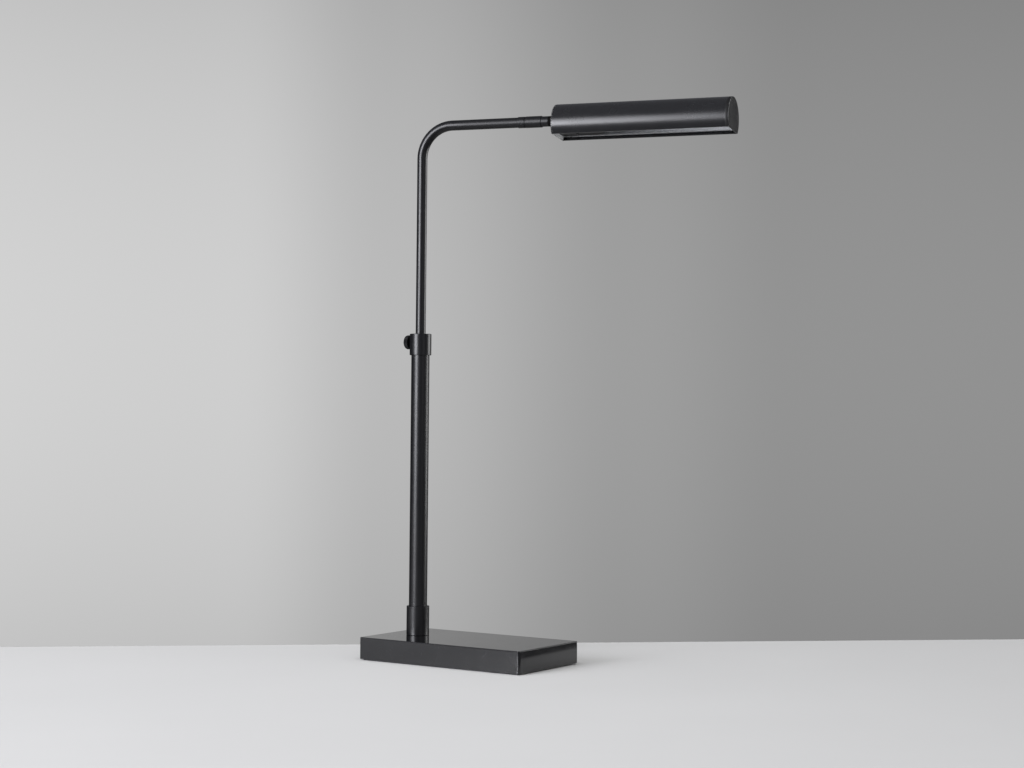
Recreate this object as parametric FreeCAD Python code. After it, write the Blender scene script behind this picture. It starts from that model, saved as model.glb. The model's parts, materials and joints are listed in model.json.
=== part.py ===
import FreeCAD, Part
import math
import os

# Piano lamp: a weighted slab base, a telescoping mast held by a thumbscrew, a bent arm
# that swings with the mast, and a trough shade that rolls about the arm.
#
# Frame: the origin is on the rest plane under the mast axis, +X runs along the base's
# long side to its long end, +Y to the back and +Z up. Everything is in millimetres.
# Pieces of the arm and the head are drawn with the arm along +X through the origin,
# then rolled, lifted and swung to where they rest.

# Clearances
seat_gap = 0.05            # round pieces that are pressed, glued or screwed together
run_gap = 0.06             # round pieces that turn or slide in one another
end_gap = 0.1              # end play beside a turning piece
loose_gap = 0.5            # clearance holes and loose covers

# Base
base_length = 238.0
base_width = 133.0
base_height = 28.5         # from the rest plane to the top face
mast_inset = 41.5          # from the short end to the mast axis
shell_wall = 2.0
corner_radius = 3.0        # upright edges of the shell
top_edge_radius = 2.0      # edge round the top face
felt_thickness = 1.5
felt_inset = 3.0
plate_thickness = 1.5
ballast_thickness = 14.0
ballast_corner = 5.0
boss_radius = 6.0
boss_inset = 11.0          # boss axis from the shell's inside faces
plate_screw_radius = 2.0
plate_screw_head = 3.6
plate_screw_length = 9.0

# Cord outlet in the back wall
outlet_radius = 3.1        # bore for the cord
outlet_height = 10.0       # bore axis above the rest plane
grommet_neck = 4.6         # radius where the wall holds it
grommet_flange = 6.2
grommet_flange_width = 1.4
notch_width = 18.0         # relief in the ballast behind the outlet
notch_depth = 9.0

# Foot: collar, hollow tie rod, washer and nut
foot_radius = 14.3
foot_height = 36.5
foot_floor = 10.0
rod_radius = 5.0
wire_bore = 3.0            # bore for the lead, in the rod, the swivel and the stub
washer_radius = 10.0
washer_thickness = 1.5
nut_across_flats = 15.0
nut_thickness = 4.0
rod_end = 1.0              # thread that stands out of a nut

# Pole and clamp collar
pole_radius = 11.5
pole_wall = 1.2
pole_top = 393.0
clamp_radius = 13.7
clamp_bottom = 381.0
clamp_top = 408.0
clamp_lip = 1.5
clamp_edge = 0.5           # chamfer of both collars and the mast's glide
clamp_bore = 8.5           # radius round the neck of the guide bush
bush_length = 40.0         # stretch of the bush inside the pole

# Clamp screw, on the side away from the arm
screw_height = 397.5
screw_radius = 2.5
shoe_radius = 2.3
shoe_length = 1.9
knob_radius = 8.9
knob_thickness = 6.0
knob_stand_off = 1.3       # knob clear of the collar with the clamp tight
knob_dish_radius = 5.2
knob_dish_depth = 1.0
knob_edge = 1.4
knurl_count = 30
knurl_radius = 0.55

# Mast and arm, one bent tube
mast_radius = 6.35
mast_wall = 1.2
arm_height = 670.0
bend_radius = 40.5
arm_reach = 129.6          # tube end from the mast axis
arm_swing = 12.5           # degrees from the base's long side
raise_travel = 40.0        # to the highest setting
glide_length = 12.0
clip_thickness = 1.2
clip_radius = 7.8
tube_tail = 2.0            # tube below the lower clip

# Swivel between arm and head
socket_length = 9.5
socket_radius = 7.0
spigot_length = 14.0
spindle_radius = 4.5
spindle_length = 8.5
groove_depth = 0.7
set_screw_radius = 1.5
set_screw_angle = 20.0     # degrees below the level on the front side
head_turn = 90.0           # roll each way from level
stop_slack = 3.0           # degrees of free play past the end of the roll
neck_length = 21.7
neck_radius = 7.15
swivel_edge = 0.4          # chamfer that draws the two fine grooves
head_roll = -5.0           # degrees about the arm at rest, back edge down

# Stub that carries the shade
stub_radius = 6.4
stub_length = 8.9
stub_thread = 5.0
shade_washer_width = 11.1  # it stands the shade off the stub like a sleeve
stub_nut_thickness = 4.0

# Shade
shade_length = 223.2
shade_radius = 25.5
shade_wall = 1.2
shade_drop = 5.5           # shade axis below the arm axis
mouth_drop = 15.0          # mouth plane below the shade axis
cap_thickness = 1.2
cap_edge = 0.6
cap_lip_depth = 3.0
cap_lip_wall = 1.0

# Light tray in the shade
light_recess = 5.0         # diffuser face above the mouth plane
diffuser_thickness = 2.0
tray_wall = 1.2
tray_depth = 9.0           # diffuser face to the tray's roof
tray_half_width = 21.2
tray_lip = 2.0
tray_lip_thickness = 0.6
tray_end_gap = 5.0         # clear of each cap
tray_screw_inset = 62.0    # screw from each end of the tray
tray_stud_radius = 3.0
tray_screw_radius = 1.5
tray_screw_head = 2.8
tray_screw_head_height = 1.6
tray_screw_grip = 6.0      # screw inside the stud
tray_thread_depth = 9.0
board_half_width = 9.0
board_thickness = 1.2
board_end_gap = 6.0
cover_reach = 57.0         # inside of the arm-end cap to the end of the switch cover
chip_count = 14
chip_length = 3.5
chip_width = 2.8
chip_height = 0.8

# Push switch near the arm end of the light
switch_inset = 25.5        # button axis from the inside of the arm-end cap
switch_side = 9.0
switch_shell = 0.8
button_radius = 2.0
button_edge = 0.4
button_stand_out = 2.7     # below the diffuser face
button_flange = 2.9
button_flange_height = 1.0
button_travel = 1.5
spring_room = 2.2          # above the flange with the button pressed home

# Levels and stations that the sizes above fix
shell_inside_top = base_height - shell_wall
plate_top = felt_thickness + plate_thickness
ballast_bottom = shell_inside_top - ballast_thickness
inside_left = -mast_inset + shell_wall
inside_right = base_length - mast_inset - shell_wall
inside_half = base_width / 2 - shell_wall
washer_bottom = ballast_bottom - washer_thickness
nut_bottom = washer_bottom - nut_thickness
pole_bottom = base_height + foot_floor
pole_bore = pole_radius - pole_wall
mast_bore = mast_radius - mast_wall
bush_bottom = pole_top - bush_length
bush_top = clamp_top - clamp_lip
clip_top = bush_bottom - raise_travel - loose_gap
glide_top = clip_top - clip_thickness - end_gap
glide_bottom = glide_top - glide_length
lower_clip_top = glide_bottom - end_gap
mast_bottom = lower_clip_top - clip_thickness - tube_tail
knob_face = clamp_radius + knob_stand_off
shoe_back = mast_radius + run_gap + shoe_length
neck_start = arm_reach + socket_length
neck_end = neck_start + neck_length
washer_start = neck_end + stub_length
shade_start = washer_start + shade_washer_width
shade_end = shade_start + shade_length
shell_start = shade_start + cap_thickness
shell_end = shade_end - cap_thickness
mouth_level = -shade_drop - mouth_drop
shell_bore = shade_radius - shade_wall
light_level = mouth_level + light_recess
tray_roof = light_level + tray_depth
tray_start = shell_start + tray_end_gap
tray_end = shell_end - tray_end_gap
switch_station = shell_start + switch_inset
chamber_height = end_gap + button_flange_height + button_travel + spring_room
switch_floor = tray_roof - chamber_height - 2 * switch_shell
cover_start = shell_start + loose_gap
cover_end = shell_start + cover_reach
board_start = cover_end + seat_gap
board_end = tray_end - board_end_gap
board_bottom = tray_roof - board_thickness

ALONG_X = FreeCAD.Vector(1, 0, 0)
ALONG_Y = FreeCAD.Vector(0, 1, 0)
ALONG_Z = FreeCAD.Vector(0, 0, 1)


def point(x, y, z):
    """A point or direction."""
    return FreeCAD.Vector(x, y, z)


def round_bar(radius, start, end, axis=ALONG_Z):
    """A solid cylinder on an axis through the origin, from start to end along it."""
    return Part.makeCylinder(radius, end - start, axis * start, axis)


def block(low, high):
    """A box between two corners."""
    return Part.makeBox(high[0] - low[0], high[1] - low[1], high[2] - low[2], point(*low))


def turned(profile, axis=ALONG_Z):
    """Revolve a closed profile of (station along the axis, radius) pairs about the axis."""
    outward = ALONG_Y if axis == ALONG_X else ALONG_X
    corners = [axis * station + outward * radius for station, radius in profile]
    wire = Part.makePolygon(corners + corners[:1])
    return Part.Face(wire).revolve(point(0, 0, 0), axis, 360)


def hex_nut(across_flats, bore, start, end, axis=ALONG_Z):
    """A hexagon nut with a plain bore, from start to end along the axis."""
    outward = ALONG_Y if axis == ALONG_X else ALONG_X
    across = axis.cross(outward)
    corner = across_flats / math.sqrt(3)
    turns = [math.radians(60 * side) for side in range(6)]
    corners = [axis * start + (outward * math.cos(a) + across * math.sin(a)) * corner for a in turns]
    body = Part.Face(Part.makePolygon(corners + corners[:1])).extrude(axis * (end - start))
    return body.cut(round_bar(bore, start, end, axis))


def upright_edges(solid):
    """The straight edges of a solid that run along Z."""
    return [e for e in solid.Edges if abs(e.tangentAt(e.FirstParameter).z) > 0.999]


def rounded_block(low, high, radius):
    """A box whose four upright edges are rounded."""
    body = block(low, high)
    return body.makeFillet(radius, upright_edges(body))


def solids_of(shapes):
    """Several separate solids kept together in one node."""
    return Part.makeCompound(shapes)


def on_arm(shape):
    """Lift a piece drawn along +X to the arm's height and swing it with the arm."""
    placed = shape.copy()
    placed.translate(point(0, 0, arm_height))
    placed.rotate(point(0, 0, 0), ALONG_Z, arm_swing)
    return placed


def on_head(shape):
    """Roll a piece about the arm's axis as the head rests, then place it on the arm."""
    rolled = shape.copy()
    rolled.rotate(point(0, 0, 0), ALONG_X, head_roll)
    return on_arm(rolled)


# Base -----------------------------------------------------------------------------

def base_shell():
    """A drawn steel box, open below, with rounded upright and top edges."""
    low = (-mast_inset, -base_width / 2, felt_thickness)
    high = (base_length - mast_inset, base_width / 2, base_height)
    body = rounded_block(low, high, corner_radius)
    rim = [e for e in body.Edges if e.BoundBox.ZMin > base_height - 0.01]
    body = body.makeFillet(top_edge_radius, rim)
    hollow = rounded_block(
        (inside_left, -inside_half, felt_thickness - 1),
        (inside_right, inside_half, shell_inside_top),
        corner_radius - shell_wall / 2)
    rod_hole = round_bar(rod_radius + loose_gap, shell_inside_top - 1, base_height + 1)
    outlet = Part.makeCylinder(
        grommet_neck + seat_gap, shell_wall + 2,
        point(0, inside_half - 1, outlet_height), ALONG_Y)
    return body.cut(hollow).cut(rod_hole).cut(outlet)


def boss_places():
    """Axes of the four bosses under the ballast, where the bottom plate is screwed on."""
    xs = (inside_left + boss_inset, inside_right - boss_inset)
    ys = (-inside_half + boss_inset, inside_half - boss_inset)
    return [point(x, y, 0) for x in xs for y in ys]


def ballast():
    """A cast slab under the top face, with four bosses and a relief behind the outlet."""
    slab = rounded_block(
        (inside_left + loose_gap, -inside_half + loose_gap, ballast_bottom),
        (inside_right - loose_gap, inside_half - loose_gap, shell_inside_top),
        ballast_corner)
    thread_top = felt_thickness + plate_screw_length + loose_gap
    for place in boss_places():
        boss = round_bar(boss_radius, plate_top, ballast_bottom)
        boss.translate(place)
        slab = slab.fuse(boss)
    for place in boss_places():
        thread = round_bar(plate_screw_radius + seat_gap, plate_top - 1, thread_top)
        thread.translate(place)
        slab = slab.cut(thread)
    notch = block(
        (-notch_width / 2, inside_half - notch_depth, ballast_bottom - 1),
        (notch_width / 2, inside_half, outlet_height + grommet_flange + loose_gap))
    rod_hole = round_bar(rod_radius + loose_gap, ballast_bottom - 1, shell_inside_top + 1)
    return slab.cut(notch).cut(rod_hole).removeSplitter()


def screw_profile(extra):
    """Half outline of a countersunk plate screw, or of its hole with extra clearance."""
    tip = felt_thickness + plate_screw_length
    return [
        (felt_thickness, 0),
        (felt_thickness, plate_screw_head + extra),
        (plate_top, plate_screw_radius + extra),
        (tip, plate_screw_radius + extra),
        (tip, 0)]


def base_plate():
    """The steel plate that closes the shell, countersunk for its four screws."""
    plate = rounded_block(
        (inside_left + seat_gap, -inside_half + seat_gap, felt_thickness),
        (inside_right - seat_gap, inside_half - seat_gap, plate_top),
        corner_radius)
    for place in boss_places():
        hole = turned(screw_profile(seat_gap))
        hole.translate(place)
        plate = plate.cut(hole)
    return plate


def plate_screws():
    """Four countersunk screws, up through the plate into the ballast's bosses."""
    screws = []
    for place in boss_places():
        screw = turned(screw_profile(0))
        screw.translate(place)
        screws.append(screw)
    return solids_of(screws)


def felt_pad():
    """The sheet that the lamp stands on, set in from the shell's edge."""
    return rounded_block(
        (-mast_inset + felt_inset, -base_width / 2 + felt_inset, 0),
        (base_length - mast_inset - felt_inset, base_width / 2 - felt_inset, felt_thickness),
        corner_radius)


def cord_grommet():
    """A flanged rubber bush in the back wall, bored for the cord."""
    inner_face = inside_half - grommet_flange_width
    outer_face = base_width / 2 + grommet_flange_width
    soft = grommet_flange_width / 2
    grommet = turned([
        (inner_face, outlet_radius),
        (inner_face, grommet_flange - soft),
        (inner_face + soft, grommet_flange),
        (inside_half, grommet_flange),
        (inside_half, grommet_neck),
        (base_width / 2, grommet_neck),
        (base_width / 2, grommet_flange),
        (outer_face - soft, grommet_flange),
        (outer_face, grommet_flange - soft),
        (outer_face, outlet_radius)], ALONG_Y)
    grommet.translate(point(0, 0, outlet_height))
    return grommet


# Foot and pole ----------------------------------------------------------------------

def foot_collar():
    """The turned collar that carries the pole, threaded on the tie rod."""
    top = base_height + foot_height
    return turned([
        (base_height, rod_radius + seat_gap),
        (base_height, foot_radius - clamp_edge),
        (base_height + clamp_edge, foot_radius),
        (top - clamp_edge, foot_radius),
        (top, foot_radius - clamp_edge),
        (top, pole_radius + seat_gap),
        (pole_bottom, pole_radius + seat_gap),
        (pole_bottom, rod_radius + seat_gap)])


def tie_rod():
    """The hollow threaded rod that ties the collar, shell and ballast together."""
    rod = round_bar(rod_radius, nut_bottom - rod_end, pole_bottom)
    return rod.cut(round_bar(wire_bore, nut_bottom - rod_end, pole_bottom))


def tie_washer():
    """The washer under the ballast."""
    disc = round_bar(washer_radius, washer_bottom, ballast_bottom)
    return disc.cut(round_bar(rod_radius + seat_gap, washer_bottom, ballast_bottom))


def tie_nut():
    """The nut that pulls the tie rod down."""
    return hex_nut(nut_across_flats, rod_radius + seat_gap, nut_bottom, washer_bottom)


def pole_tube():
    """The fixed outer tube of the mast."""
    pole = round_bar(pole_radius, pole_bottom, pole_top)
    return pole.cut(round_bar(pole_bore, pole_bottom, pole_top))


def screw_bar(radius, start, end):
    """A cylinder on the clamp screw's axis, start and end counted out from the mast axis."""
    return Part.makeCylinder(radius, end - start, point(-start, 0, screw_height), -ALONG_X)


def guide_bush():
    """A nylon sleeve in the pole's top that guides the mast, drilled for the clamp shoe."""
    bush = turned([
        (bush_bottom, mast_radius + run_gap),
        (bush_bottom, pole_bore - seat_gap),
        (pole_top, pole_bore - seat_gap),
        (pole_top, clamp_bore - seat_gap),
        (bush_top, clamp_bore - seat_gap),
        (bush_top, mast_radius + run_gap)])
    return bush.cut(screw_bar(screw_radius + seat_gap, mast_radius / 2, clamp_bore + 1))


def clamp_collar():
    """The collar on the pole's top, threaded for the clamp screw."""
    lip_bore = mast_radius + loose_gap
    collar = turned([
        (clamp_bottom, pole_radius + seat_gap),
        (clamp_bottom, clamp_radius - clamp_edge),
        (clamp_bottom + clamp_edge, clamp_radius),
        (clamp_top - clamp_edge, clamp_radius),
        (clamp_top, clamp_radius - clamp_edge),
        (clamp_top, lip_bore),
        (bush_top, lip_bore),
        (bush_top, clamp_bore),
        (pole_top, clamp_bore),
        (pole_top, pole_radius + seat_gap)])
    return collar.cut(screw_bar(screw_radius + seat_gap, mast_radius, clamp_radius + 1))


# Clamp ------------------------------------------------------------------------------

def clamp_shoe():
    """The brass shoe between screw and mast, its tip hollowed to the mast's radius."""
    shoe = screw_bar(shoe_radius, mast_radius / 2, shoe_back)
    hollow = round_bar(mast_radius + run_gap, screw_height - screw_radius - 1, screw_height + screw_radius + 1)
    return shoe.cut(hollow)


def clamp_stud():
    """The screw's threaded stem, fixed in the knob."""
    return screw_bar(screw_radius - seat_gap / 2, shoe_back, knob_face + knob_thickness / 2)


def clamp_knob():
    """A knurled disc with a dished face, bored for the stud."""
    back = knob_face
    face = knob_face + knob_thickness
    middle = knob_face + knob_thickness / 2
    knob = turned([
        (back, 0),
        (back, knob_radius - knob_edge),
        (back + knob_edge, knob_radius),
        (face - knob_edge, knob_radius),
        (face, knob_radius - knob_edge),
        (face, knob_dish_radius),
        (face - knob_dish_depth, knob_dish_radius - knob_dish_depth),
        (face - knob_dish_depth, 0)], ALONG_X)
    knob = knob.cut(round_bar(screw_radius + seat_gap / 2, back - 1, middle, ALONG_X))
    flutes = []
    for index in range(knurl_count):
        turn = 2 * math.pi * index / knurl_count
        centre = point(back - 1, knob_radius * math.cos(turn), knob_radius * math.sin(turn))
        flutes.append(Part.makeCylinder(knurl_radius, knob_thickness + 2, centre, ALONG_X))
    knob = knob.cut(flutes)
    knob.rotate(point(0, 0, 0), ALONG_Z, 180)
    knob.translate(point(0, 0, screw_height))
    return knob


# Mast and arm -------------------------------------------------------------------------

def mast_glide():
    """The nylon ring that centres the mast's foot in the pole and slides with it."""
    outer = pole_bore - run_gap
    return turned([
        (glide_bottom, mast_radius + run_gap),
        (glide_bottom, outer - clamp_edge),
        (glide_bottom + clamp_edge, outer),
        (glide_top - clamp_edge, outer),
        (glide_top, outer - clamp_edge),
        (glide_top, mast_radius + run_gap)])


def glide_clips():
    """Two rings fixed on the mast, one at each end of the glide."""
    clips = []
    for top in (clip_top, lower_clip_top):
        ring = round_bar(clip_radius, top - clip_thickness, top)
        clips.append(ring.cut(round_bar(mast_radius + seat_gap, top - clip_thickness, top)))
    return solids_of(clips)


def bent_bar(radius):
    """A round bar up the mast, round the bend and out to the arm's end."""
    foot = point(0, 0, mast_bottom)
    bend_start = point(0, 0, arm_height - bend_radius)
    lean = bend_radius * (1 - math.sqrt(0.5))
    bend_middle = point(lean, 0, arm_height - lean)
    bend_end = point(bend_radius, 0, arm_height)
    tip = point(arm_reach, 0, arm_height)
    path = Part.Wire([
        Part.LineSegment(foot, bend_start).toShape(),
        Part.Arc(bend_start, bend_middle, bend_end).toShape(),
        Part.LineSegment(bend_end, tip).toShape()])
    section = Part.Wire(Part.makeCircle(radius, foot, ALONG_Z))
    return path.makePipeShell([section], True, False)


def arm_tube():
    """The tube that telescopes in the pole and bends over to carry the head."""
    tube = bent_bar(mast_radius).cut(bent_bar(mast_bore))
    tube.rotate(point(0, 0, 0), ALONG_Z, arm_swing)
    return tube


def set_screw_bar(radius, start, end):
    """A cylinder on the set screw's axis, square to the arm in the middle of the spindle."""
    slant = math.radians(set_screw_angle)
    outward = point(0, -math.cos(slant), -math.sin(slant))
    station = point(arm_reach + socket_length / 2, 0, 0)
    return Part.makeCylinder(radius, end - start, station + outward * start, outward)


def swivel_socket():
    """The ring at the arm's end: a spigot in the tube and a bore for the head's spindle."""
    end = arm_reach + socket_length
    socket = turned([
        (arm_reach - spigot_length, wire_bore),
        (arm_reach - spigot_length, mast_bore - seat_gap),
        (arm_reach, mast_bore - seat_gap),
        (arm_reach, socket_radius - swivel_edge),
        (arm_reach + swivel_edge, socket_radius),
        (end - swivel_edge, socket_radius),
        (end, socket_radius - swivel_edge),
        (end, spindle_radius + run_gap),
        (end - spindle_length - loose_gap, spindle_radius + run_gap),
        (end - spindle_length - loose_gap, wire_bore)], ALONG_X)
    return on_arm(socket.cut(set_screw_bar(set_screw_radius + seat_gap, 0, socket_radius + 1)))


def swivel_screw():
    """The set screw whose tip runs in the spindle's groove and stops the head's roll."""
    tip = spindle_radius - groove_depth + run_gap
    return on_arm(set_screw_bar(set_screw_radius, tip, socket_radius - swivel_edge))


# Head -----------------------------------------------------------------------------------

def stop_groove():
    """The groove's sector, as long as the head's roll plus the set screw's own width."""
    station = arm_reach + socket_length / 2
    half_width = set_screw_radius + end_gap
    floor = spindle_radius - groove_depth
    slack = math.degrees(half_width / floor) + stop_slack
    sweep = 2 * (head_turn + slack)
    ring = Part.makeCylinder(spindle_radius + 1, 2 * half_width, point(0, 0, 0), ALONG_Z, sweep)
    ring = ring.cut(round_bar(floor, 0, 2 * half_width))
    # the sector opens from +X about +Z: centre it, lay it along the arm with its middle
    # downward, then turn the middle up to the set screw
    ring.rotate(point(0, 0, 0), ALONG_Z, -sweep / 2)
    ring.rotate(point(0, 0, 0), ALONG_Y, 90)
    ring.rotate(point(0, 0, 0), ALONG_X, set_screw_angle - 90)
    ring.translate(point(station - half_width, 0, 0))
    return ring


def swivel_neck():
    """The head's neck, with a grooved spindle that turns in the socket."""
    neck = turned([
        (neck_start - spindle_length, wire_bore),
        (neck_start - spindle_length, spindle_radius),
        (neck_start + end_gap, spindle_radius),
        (neck_start + end_gap, socket_radius - swivel_edge),
        (neck_start + end_gap + swivel_edge, neck_radius - swivel_edge),
        (neck_start + 2 * swivel_edge + end_gap, neck_radius),
        (neck_end - swivel_edge, neck_radius),
        (neck_end, neck_radius - swivel_edge),
        (neck_end, wire_bore)], ALONG_X)
    return on_head(neck.cut(stop_groove()))


def shade_stub():
    """The stepped tube between the neck and the shade's cap, threaded at its far end."""
    thread_end = shell_start + stub_nut_thickness + rod_end
    stub = turned([
        (neck_end, wire_bore),
        (neck_end, stub_radius),
        (washer_start, stub_radius),
        (washer_start, stub_thread),
        (thread_end, stub_thread),
        (thread_end, wire_bore)], ALONG_X)
    return on_head(stub)


def shade_washer():
    """The black fibre sleeve between stub and cap."""
    disc = round_bar(stub_radius, washer_start, shade_start, ALONG_X)
    return on_head(disc.cut(round_bar(stub_thread + seat_gap, washer_start, shade_start, ALONG_X)))


def stub_nut():
    """The nut inside the shade that holds it on the stub."""
    end = shell_start + stub_nut_thickness
    return on_head(hex_nut(nut_across_flats, stub_thread + seat_gap, shell_start, end, ALONG_X))


def shade_bar(radius, start, end):
    """A cylinder on the shade's axis, with its flat mouth cut off."""
    bar = Part.makeCylinder(radius, end - start, point(start, 0, -shade_drop), ALONG_X)
    below = block((start - 1, -radius - 1, mouth_level - radius), (end + 1, radius + 1, mouth_level))
    return bar.cut(below)


def shade_shell():
    """The rolled trough, a round shell open along its flat mouth."""
    shell = shade_bar(shade_radius, shell_start, shell_end)
    return on_head(shell.cut(shade_bar(shell_bore, shell_start, shell_end)))


def end_cap(outer_face, inner_face):
    """A cap plate with a rounded outer edge and a lip that locates it in the shell."""
    start = min(outer_face, inner_face)
    end = max(outer_face, inner_face)
    inward = 1 if inner_face > outer_face else -1
    plate = shade_bar(shade_radius, start, end)
    rim = [e for e in plate.Edges
           if abs(e.BoundBox.XMin - outer_face) < 0.01 and abs(e.BoundBox.XMax - outer_face) < 0.01]
    plate = plate.makeFillet(cap_edge, rim)
    lip_tip = inner_face + inward * cap_lip_depth
    lip_start = min(inner_face, lip_tip)
    lip_end = max(inner_face, lip_tip)
    lip_radius = shell_bore - seat_gap
    lip = shade_bar(lip_radius, lip_start, lip_end)
    lip = lip.cut(shade_bar(lip_radius - cap_lip_wall, lip_start, lip_end))
    clear = block(
        (lip_start - 1, -shade_radius, mouth_level - 1),
        (lip_end + 1, shade_radius, light_level))
    return plate.fuse(lip.cut(clear)).removeSplitter()


def arm_end_cap():
    """The cap that the stub is screwed to."""
    cap = end_cap(shade_start, shell_start)
    hole = round_bar(stub_thread + seat_gap, shade_start - 1, shell_start + 1, ALONG_X)
    return on_head(cap.cut(hole))


def tip_cap():
    """The cap at the free end."""
    return on_head(end_cap(shade_end, shell_end))


def tray_screw_stations():
    """Where the two tray screws stand along the arm."""
    return (tray_start + tray_screw_inset, tray_end - tray_screw_inset)


def light_tray():
    """A folded aluminium channel that carries the board and holds the diffuser by its lips."""
    outline = [
        (tray_half_width, light_level - tray_lip_thickness),
        (tray_half_width, tray_roof + tray_wall),
        (-tray_half_width, tray_roof + tray_wall),
        (-tray_half_width, light_level - tray_lip_thickness),
        (-tray_half_width + tray_wall + tray_lip, light_level - tray_lip_thickness),
        (-tray_half_width + tray_wall + tray_lip, light_level),
        (-tray_half_width + tray_wall, light_level),
        (-tray_half_width + tray_wall, tray_roof),
        (tray_half_width - tray_wall, tray_roof),
        (tray_half_width - tray_wall, light_level),
        (tray_half_width - tray_wall - tray_lip, light_level),
        (tray_half_width - tray_wall - tray_lip, light_level - tray_lip_thickness)]
    corners = [point(tray_start, y, z) for y, z in outline]
    channel = Part.Face(Part.makePolygon(corners + corners[:1])).extrude(ALONG_X * (tray_end - tray_start))
    for station in tray_screw_stations():
        hole = Part.makeCylinder(
            tray_screw_radius + seat_gap, tray_wall + 2, point(station, 0, tray_roof - 1), ALONG_Z)
        channel = channel.cut(hole)
    return on_head(channel)


def tray_studs():
    """Two studs between the shell's crown and the tray, tapped for the tray screws."""
    studs = []
    for station in tray_screw_stations():
        base = tray_roof + tray_wall
        stud = Part.makeCylinder(tray_stud_radius, shade_radius, point(station, 0, base), ALONG_Z)
        bore = shade_bar(shell_bore - seat_gap, station - tray_stud_radius - 1, station + tray_stud_radius + 1)
        thread = Part.makeCylinder(
            tray_screw_radius + seat_gap, tray_thread_depth, point(station, 0, base), ALONG_Z)
        studs.append(on_head(stud.common(bore).cut(thread)))
    return solids_of(studs)


def tray_screws():
    """Two pan-head screws, up through board and tray into the studs."""
    screws = []
    for station in tray_screw_stations():
        head_top = board_bottom
        head = Part.makeCylinder(
            tray_screw_head, tray_screw_head_height,
            point(station, 0, head_top - tray_screw_head_height), ALONG_Z)
        stem_top = tray_roof + tray_wall + tray_screw_grip
        stem = Part.makeCylinder(
            tray_screw_radius, stem_top - head_top, point(station, 0, head_top), ALONG_Z)
        screws.append(on_head(head.fuse(stem)))
    return solids_of(screws)


def led_board():
    """The metal-cored board under the tray's roof."""
    board = block(
        (board_start, -board_half_width, board_bottom),
        (board_end, board_half_width, tray_roof))
    for station in tray_screw_stations():
        hole = Part.makeCylinder(
            tray_screw_radius + seat_gap, board_thickness + 2,
            point(station, 0, board_bottom - 1), ALONG_Z)
        board = board.cut(hole)
    return on_head(board)


def led_chips():
    """A row of light chips in two lines, clear of the tray screws."""
    chips = []
    pitch = (board_end - board_start) / chip_count
    offset = board_half_width / 2
    for index in range(chip_count):
        centre = board_start + pitch * (index + 0.5)
        for side in (-offset, offset):
            chips.append(on_head(block(
                (centre - chip_length / 2, side - chip_width / 2, board_bottom - chip_height),
                (centre + chip_length / 2, side + chip_width / 2, board_bottom))))
    return solids_of(chips)


def lip_plate(start, end):
    """A plate that lies on the tray's two lips, from start to end along the arm."""
    half = tray_half_width - tray_wall - seat_gap
    return block((start, -half, light_level), (end, half, light_level + diffuser_thickness))


def diffuser():
    """The opal strip, from the switch cover to the tray's far end."""
    return on_head(lip_plate(cover_end + seat_gap, tray_end))


def switch_cover():
    """The black plate over the switch, drilled for its button, out to the arm-end cap."""
    hole = Part.makeCylinder(
        button_radius + loose_gap, diffuser_thickness + 2,
        point(switch_station, 0, light_level - 1), ALONG_Z)
    return on_head(lip_plate(cover_start, cover_end).cut(hole))


def switch_body():
    """The switch's housing under the tray's roof, hollow round the button's flange."""
    half = switch_side / 2
    housing = block(
        (switch_station - half, -half, switch_floor),
        (switch_station + half, half, tray_roof))
    chamber = Part.makeCylinder(
        button_flange + run_gap, chamber_height,
        point(switch_station, 0, switch_floor + switch_shell), ALONG_Z)
    mouth = Part.makeCylinder(
        button_radius + run_gap, switch_shell + 2,
        point(switch_station, 0, switch_floor - 1), ALONG_Z)
    return on_head(housing.cut(chamber).cut(mouth))


def switch_button():
    """The push button, with a flange that keeps it in the housing."""
    tip = light_level - button_stand_out
    flange_bottom = switch_floor + switch_shell + end_gap
    flange_top = flange_bottom + button_flange_height
    button = turned([
        (tip, 0),
        (tip, button_radius - button_edge),
        (tip + button_edge, button_radius),
        (flange_bottom, button_radius),
        (flange_bottom, button_flange),
        (flange_top, button_flange),
        (flange_top, 0)])
    button.translate(point(switch_station, 0, 0))
    return on_head(button)


NODES = {
    "base_shell": base_shell,
    "ballast": ballast,
    "base_plate": base_plate,
    "plate_screws": plate_screws,
    "felt_pad": felt_pad,
    "cord_grommet": cord_grommet,
    "foot_collar": foot_collar,
    "tie_rod": tie_rod,
    "tie_washer": tie_washer,
    "tie_nut": tie_nut,
    "pole_tube": pole_tube,
    "guide_bush": guide_bush,
    "clamp_collar": clamp_collar,
    "clamp_shoe": clamp_shoe,
    "clamp_stud": clamp_stud,
    "clamp_knob": clamp_knob,
    "mast_glide": mast_glide,
    "glide_clips": glide_clips,
    "arm_tube": arm_tube,
    "swivel_socket": swivel_socket,
    "swivel_screw": swivel_screw,
    "swivel_neck": swivel_neck,
    "shade_stub": shade_stub,
    "shade_washer": shade_washer,
    "stub_nut": stub_nut,
    "shade_shell": shade_shell,
    "arm_end_cap": arm_end_cap,
    "tip_cap": tip_cap,
    "light_tray": light_tray,
    "tray_studs": tray_studs,
    "tray_screws": tray_screws,
    "led_board": led_board,
    "led_chips": led_chips,
    "diffuser": diffuser,
    "switch_cover": switch_cover,
    "switch_body": switch_body,
    "switch_button": switch_button,
}

os.makedirs("parts", exist_ok=True)
for name, build in NODES.items():
    shape = build()
    if not shape.isValid():
        print("not valid:", name)
    shape.exportStep("parts/" + name + ".step")
    print(name, "solids", len(shape.Solids), "volume", round(shape.Volume, 1))
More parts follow.
